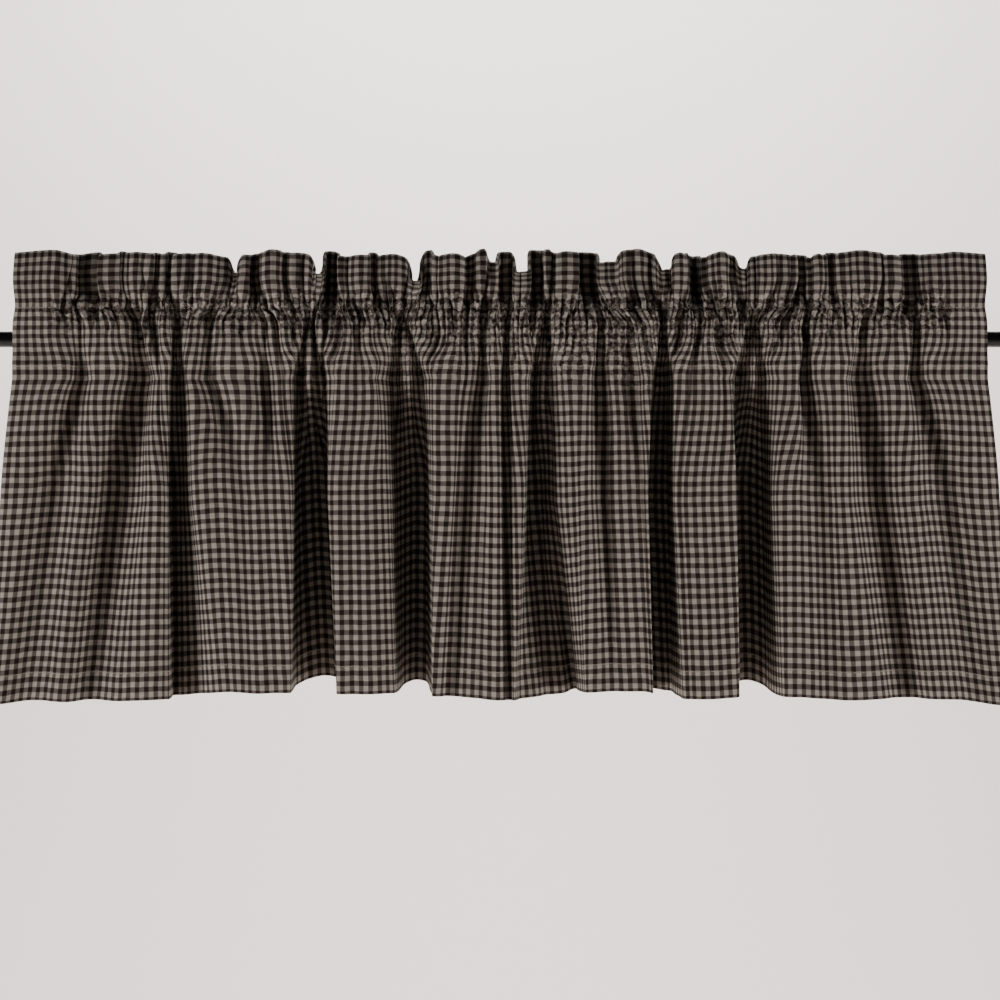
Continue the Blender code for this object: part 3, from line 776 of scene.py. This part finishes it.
cloth_mesh = bmesh.new()
bmesh.ops.create_grid(cloth_mesh, x_segments=COLUMNS, y_segments=last_row, size=0.5)
cloth_uv = cloth_mesh.loops.layers.uv.new("flat_cloth")
cloth_crumpled = cloth_mesh.verts.layers.float.new("crumpled")
crumpled_rows = [crumpled_share(abs(station) - HEADER_HEIGHT) for station in stations]
for vertex in cloth_mesh.verts:
    column = round((vertex.co.x + 0.5) * COLUMNS)
    row = round((vertex.co.y + 0.5) * last_row)
    vertex.co = rows[row, :, column] * MM
    vertex[cloth_crumpled] = crumpled_rows[row][column]
    flat_place = (threads[column] * MM, (stations[-1] - stations[row]) * MM)
    for loop in vertex.link_loops:
        loop[cloth_uv].uv = flat_place
for face in cloth_mesh.faces:
    face.smooth = True
cloth_data = bpy.data.meshes.new("checked_valance")
cloth_mesh.to_mesh(cloth_data)
cloth_mesh.free()
valance = bpy.data.objects.new("checked_valance", cloth_data)
bpy.context.scene.collection.objects.link(valance)

# Yarn-dyed plain weave.  Bands of near-black and of undyed yarn cross, so a cell is pale where
# both yarns are pale, brown-grey where one is, and nearly black where both are dark.
CHECK_ACROSS = 7.7              # one dark and one pale band of warp
CHECK_DOWN = 8.15               # one dark and one pale band of weft
BAND_EDGE = 0.22                # softness of the edge between two bands
YARN_PITCH = 0.9                # real yarns lie 0.45 mm apart; drawn twice as coarse to show
YARN_RELIEF = 0.15
BAND_WANDER = 0.35              # how far the edge of a band strays
BAND_WANDER_SIZE = 12.0
CRUMPLE_SIZE = 4.5              # creases too fine for the mesh, near the upper stitches
CRUMPLE_SHIFT = 8.0             # how much they disturb the checks, against full noise
CRUMPLE_RELIEF = 3.0            # and how deep they look
PALE_CELL = "#B0A69B"
MIXED_CELL = "#655C56"
DARK_CELL = "#281D1A"

cotton, cotton_shader = new_material("checked_cotton")
flat = add_node(cotton, "ShaderNodeUVMap", {"uv_map": "flat_cloth"}).outputs["UV"]
wander = add_node(cotton, "ShaderNodeTexNoise", Vector=flat, Detail=3.0,
                  Scale=1.0 / (BAND_WANDER_SIZE * MM))
wander_centred = add_node(cotton, "ShaderNodeVectorMath", {"operation": "SUBTRACT"},
                          _0=wander.outputs["Color"], _1=(0.5, 0.5, 0.5))
wandered = add_node(cotton, "ShaderNodeVectorMath", {"operation": "MULTIPLY_ADD"},
                    _0=wander_centred.outputs["Vector"], _1=(4.0 * BAND_WANDER * MM,) * 3, _2=flat)

# Where the cloth is gathered tightest it is crumpled too finely for the mesh.
crumpled = add_node(cotton, "ShaderNodeAttribute", {"attribute_name": "crumpled"}).outputs["Fac"]
crumple = add_node(cotton, "ShaderNodeTexNoise", Vector=flat, Scale=1.0 / (CRUMPLE_SIZE * MM),
                   Detail=2.0)
crumple_centred = add_node(cotton, "ShaderNodeVectorMath", {"operation": "SUBTRACT"},
                           _0=crumple.outputs["Color"], _1=(0.5, 0.5, 0.5))
crumple_masked = add_node(cotton, "ShaderNodeVectorMath", {"operation": "SCALE"},
                          _0=crumple_centred.outputs["Vector"])
cotton.node_tree.links.new(crumpled, crumple_masked.inputs["Scale"])
disturbed = add_node(cotton, "ShaderNodeVectorMath", {"operation": "MULTIPLY_ADD"},
                     _0=crumple_masked.outputs["Vector"], _1=(CRUMPLE_SHIFT * MM,) * 3,
                     _2=wandered.outputs["Vector"])
across_down = add_node(cotton, "ShaderNodeSeparateXYZ", Vector=disturbed.outputs["Vector"])
bands = []
for socket, pitch in (("X", CHECK_ACROSS), ("Y", CHECK_DOWN)):
    turns = add_node(cotton, "ShaderNodeMath", {"operation": "MULTIPLY"},
                     _0=across_down.outputs[socket], _1=2.0 * math.pi / (pitch * MM))
    swing = add_node(cotton, "ShaderNodeMath", {"operation": "SINE"}, _0=turns.outputs["Value"])
    bands.append(add_node(cotton, "ShaderNodeMapRange", Value=swing.outputs["Value"],
                          **{"From Min": -BAND_EDGE, "From Max": BAND_EDGE}).outputs["Result"])
pale_yarns = add_node(cotton, "ShaderNodeMath", {"operation": "ADD"}, _0=bands[0], _1=bands[1])
pale_share = add_node(cotton, "ShaderNodeMath", {"operation": "MULTIPLY"},
                      _0=pale_yarns.outputs["Value"], _1=0.5)
cells = add_node(cotton, "ShaderNodeValToRGB", Fac=pale_share.outputs["Value"])
cells.color_ramp.elements[0].color = linear(DARK_CELL)
cells.color_ramp.elements[1].color = linear(PALE_CELL)
cells.color_ramp.elements.new(0.5).color = linear(MIXED_CELL)

# Slubs: each yarn is a little lighter or darker along its length.
slub_sum = None
for stretch in ((4.0, 60.0, 1.0), (60.0, 4.0, 1.0)):
    stretched = add_node(cotton, "ShaderNodeMapping", Vector=flat)
    stretched.inputs["Scale"].default_value = tuple(20.0 * part for part in stretch)
    slub = add_node(cotton, "ShaderNodeTexNoise", Vector=stretched.outputs["Vector"], Scale=1.0,
                    Detail=2.0)
    slub_sum = slub.outputs["Fac"] if slub_sum is None else add_node(
        cotton, "ShaderNodeMath", {"operation": "ADD"}, _0=slub_sum,
        _1=slub.outputs["Fac"]).outputs["Value"]
slub_shade = add_node(cotton, "ShaderNodeMapRange", Value=slub_sum,
                      **{"From Min": 0.7, "From Max": 1.3, "To Min": 0.82, "To Max": 1.18})
shaded = add_node(cotton, "ShaderNodeVectorMath", {"operation": "SCALE"},
                  _0=cells.outputs["Color"])
cotton.node_tree.links.new(slub_shade.outputs["Result"], shaded.inputs["Scale"])
cotton.node_tree.links.new(shaded.outputs["Vector"], cotton_shader.inputs["Base Color"])

# The weave's relief: crowns of the yarns, over and under.
flat_across_down = add_node(cotton, "ShaderNodeSeparateXYZ", Vector=flat)
yarn_waves = []
for socket in ("X", "Y"):
    turns = add_node(cotton, "ShaderNodeMath", {"operation": "MULTIPLY"},
                     _0=flat_across_down.outputs[socket], _1=math.pi / (YARN_PITCH * MM))
    yarn_waves.append(add_node(cotton, "ShaderNodeMath", {"operation": "SINE"},
                               _0=turns.outputs["Value"]).outputs["Value"])
over_under = add_node(cotton, "ShaderNodeMath", {"operation": "MULTIPLY"}, _0=yarn_waves[0],
                      _1=yarn_waves[1])
crumple_height = add_node(cotton, "ShaderNodeMath", {"operation": "MULTIPLY"},
                          _0=crumple.outputs["Fac"], _1=crumpled)
crumple_bump = add_node(cotton, "ShaderNodeBump", Height=crumple_height.outputs["Value"],
                        Strength=1.0, Distance=CRUMPLE_RELIEF * MM)
weave_bump = add_node(cotton, "ShaderNodeBump", Height=over_under.outputs["Value"],
                      Strength=0.35, Distance=YARN_RELIEF * MM, Normal=crumple_bump.outputs["Normal"])
cotton.node_tree.links.new(weave_bump.outputs["Normal"], cotton_shader.inputs["Normal"])
cotton_shader.inputs["Roughness"].default_value = 0.95
cotton_shader.inputs["Specular IOR Level"].default_value = 0.15
valance.data.materials.append(cotton)

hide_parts("valance")
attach(valance, "root")

# ---------------------------------------------------------------------------------------------
# The sewing thread.  Three rows of lockstitch in pale thread: under the header, under the
# pocket, and along the top of the hem.

STITCH_LENGTH = 2.4             # along the cloth
STITCH_GAP = 0.9
STITCH_THICKNESS = 0.55
STITCHES_FROM_EDGE = 3.0        # the rows stop at the side hems
THREAD_PALE = "#C4B9AC"
THREAD_SHADED = "#8F8578"       # where its twist turns from the light

thread_curve = bpy.data.curves.new("sewing_thread", "CURVE")
thread_curve.dimensions = "3D"
thread_curve.bevel_depth = 0.5 * STITCH_THICKNESS * MM
thread_curve.bevel_resolution = 0
thread_curve.use_fill_caps = True
# Station of each row, and how far its thread stands out of the cloth.
for station, proud in ((HEADER_HEIGHT, 0.0), (HEADER_HEIGHT + POCKET_PATH, -0.05),
                       (bottom - HEM_DEPTH, 0.3)):
    x, y, z = rows[np.argmin(np.abs(stations - station))]
    off_x, off_y = square_to(x, y)
    x, y = x - proud * off_x, y - proud * off_y
    for start in np.arange(STITCHES_FROM_EDGE, CLOTH_WIDTH - STITCHES_FROM_EDGE,
                           STITCH_LENGTH + STITCH_GAP):
        along = start + STITCH_LENGTH * np.array((0.0, 0.5, 1.0))
        spline = thread_curve.splines.new("POLY")
        spline.points.add(2)
        for point, reach_x, reach_y, reach_z in zip(
                spline.points, np.interp(along, threads, x), np.interp(along, threads, y),
                np.interp(along, threads, z)):
            point.co = (reach_x * MM, reach_y * MM, reach_z * MM, 1.0)
stitches_source = bpy.data.objects.new("sewing_thread_curve", thread_curve)
bpy.context.scene.collection.objects.link(stitches_source)
stitches_data = bpy.data.meshes.new_from_object(
    stitches_source.evaluated_get(bpy.context.evaluated_depsgraph_get()))
bpy.data.objects.remove(stitches_source)
stitches_data.name = "sewing_thread"
stitches = bpy.data.objects.new("sewing_thread", stitches_data)
bpy.context.scene.collection.objects.link(stitches)

thread, thread_shader = new_material("cotton_sewing_thread")
thread_place = add_node(thread, "ShaderNodeTexCoord").outputs["Object"]
# Painted shade: random noise mixes the pale thread colour with a darker shaded copy of it, standing
# in for the thread's twist turning from the light.
thread_shade_noise = add_node(thread, "ShaderNodeTexNoise", Vector=thread_place, Scale=400.0)
thread_painted_shade = add_node(thread, "ShaderNodeValToRGB", Fac=thread_shade_noise.outputs["Fac"])
thread_painted_shade.color_ramp.elements[0].color = linear(THREAD_SHADED)
thread_painted_shade.color_ramp.elements[1].color = linear(THREAD_PALE)
thread.node_tree.links.new(thread_painted_shade.outputs["Color"], thread_shader.inputs["Base Color"])
thread_shader.inputs["Roughness"].default_value = 0.8
stitches.data.materials.clear()
stitches.data.materials.append(thread)

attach(stitches, "root")

# ---------------------------------------------------------------------------------------------
# The studio: a pale floor below and a pale wall well behind, which has a light of its own.  Two
# broad soft lights stand to the sides, a little low, so that the folds keep their shade.  The
# camera looks level at the middle of the cloth.

WALL_PALE = "#ECE4DE"
FLOOR_Z = -1.3
WALL_Y = 4.0
STAGE_SIZE = 6.0                # half of the floor's side, and the wall's height
COVE_RADIUS = 1.0
ROOM_WHITE = "#F2EEEA"

stage_mesh = bmesh.new()
bmesh.ops.create_grid(stage_mesh, x_segments=1, y_segments=1, size=STAGE_SIZE,
                      matrix=Matrix.Translation((0.0, WALL_Y - STAGE_SIZE, FLOOR_Z)))
back_edges = [edge for edge in stage_mesh.edges
              if all(vertex.co.y > WALL_Y - 0.01 for vertex in edge.verts)]
wall = bmesh.ops.extrude_edge_only(stage_mesh, edges=back_edges)
bmesh.ops.translate(stage_mesh, vec=(0.0, 0.0, STAGE_SIZE),
                    verts=[part for part in wall["geom"] if isinstance(part, bmesh.types.BMVert)])
bmesh.ops.bevel(stage_mesh, geom=back_edges, offset=COVE_RADIUS, segments=12, profile=0.5,
                affect="EDGES", material=-1)
for face in stage_mesh.faces:
    face.smooth = True
stage_data = bpy.data.meshes.new("pale_stage")
stage_mesh.to_mesh(stage_data)
stage_mesh.free()
stage = bpy.data.objects.new("pale_stage", stage_data)
bpy.context.scene.collection.objects.link(stage)
paint, paint_shader = new_material("pale_wall_paint")
paint_shader.inputs["Base Color"].default_value = linear(WALL_PALE)
paint_shader.inputs["Roughness"].default_value = 0.9
stage.data.materials.append(paint)

AIM = Vector((0.0, 0.0, -0.128))
for name, place, size, power in (
        ("key_left", (-2.35, -1.25, -0.6), 0.9, 44.5),
        ("fill_right", (2.35, -1.25, -0.6), 0.9, 38.5),
        ("wall_wash", (0.0, 1.6, 2.4), 2.5, 330.0)):
    lamp_data = bpy.data.lights.new(name, "AREA")
    lamp_data.shape = "DISK"
    lamp_data.size = size
    lamp_data.energy = power
    lamp = bpy.data.objects.new(name, lamp_data)
    lamp.location = place
    target = Vector((0.0, WALL_Y, 0.2)) if name == "wall_wash" else AIM
    lamp.rotation_euler = (target - lamp.location).to_track_quat("-Z", "Y").to_euler()
    bpy.context.scene.collection.objects.link(lamp)

world = bpy.data.worlds.new("soft_room")
world.use_nodes = True
world.node_tree.nodes["Background"].inputs["Color"].default_value = linear(ROOM_WHITE)
world.node_tree.nodes["Background"].inputs["Strength"].default_value = 0.05
bpy.context.scene.world = world

CAMERA_DISTANCE = 1.8
VIEW_WIDTH = 0.797              # how much of the rod's length the frame takes in
camera_data = bpy.data.cameras.new("camera")
camera_data.sensor_width = 36.0
camera_data.lens = camera_data.sensor_width * CAMERA_DISTANCE / VIEW_WIDTH
camera = bpy.data.objects.new("camera", camera_data)
camera.location = (0.0, -CAMERA_DISTANCE, AIM.z)
camera.rotation_euler = (math.radians(90.0), 0.0, 0.0)
bpy.context.scene.collection.objects.link(camera)
bpy.context.scene.camera = camera
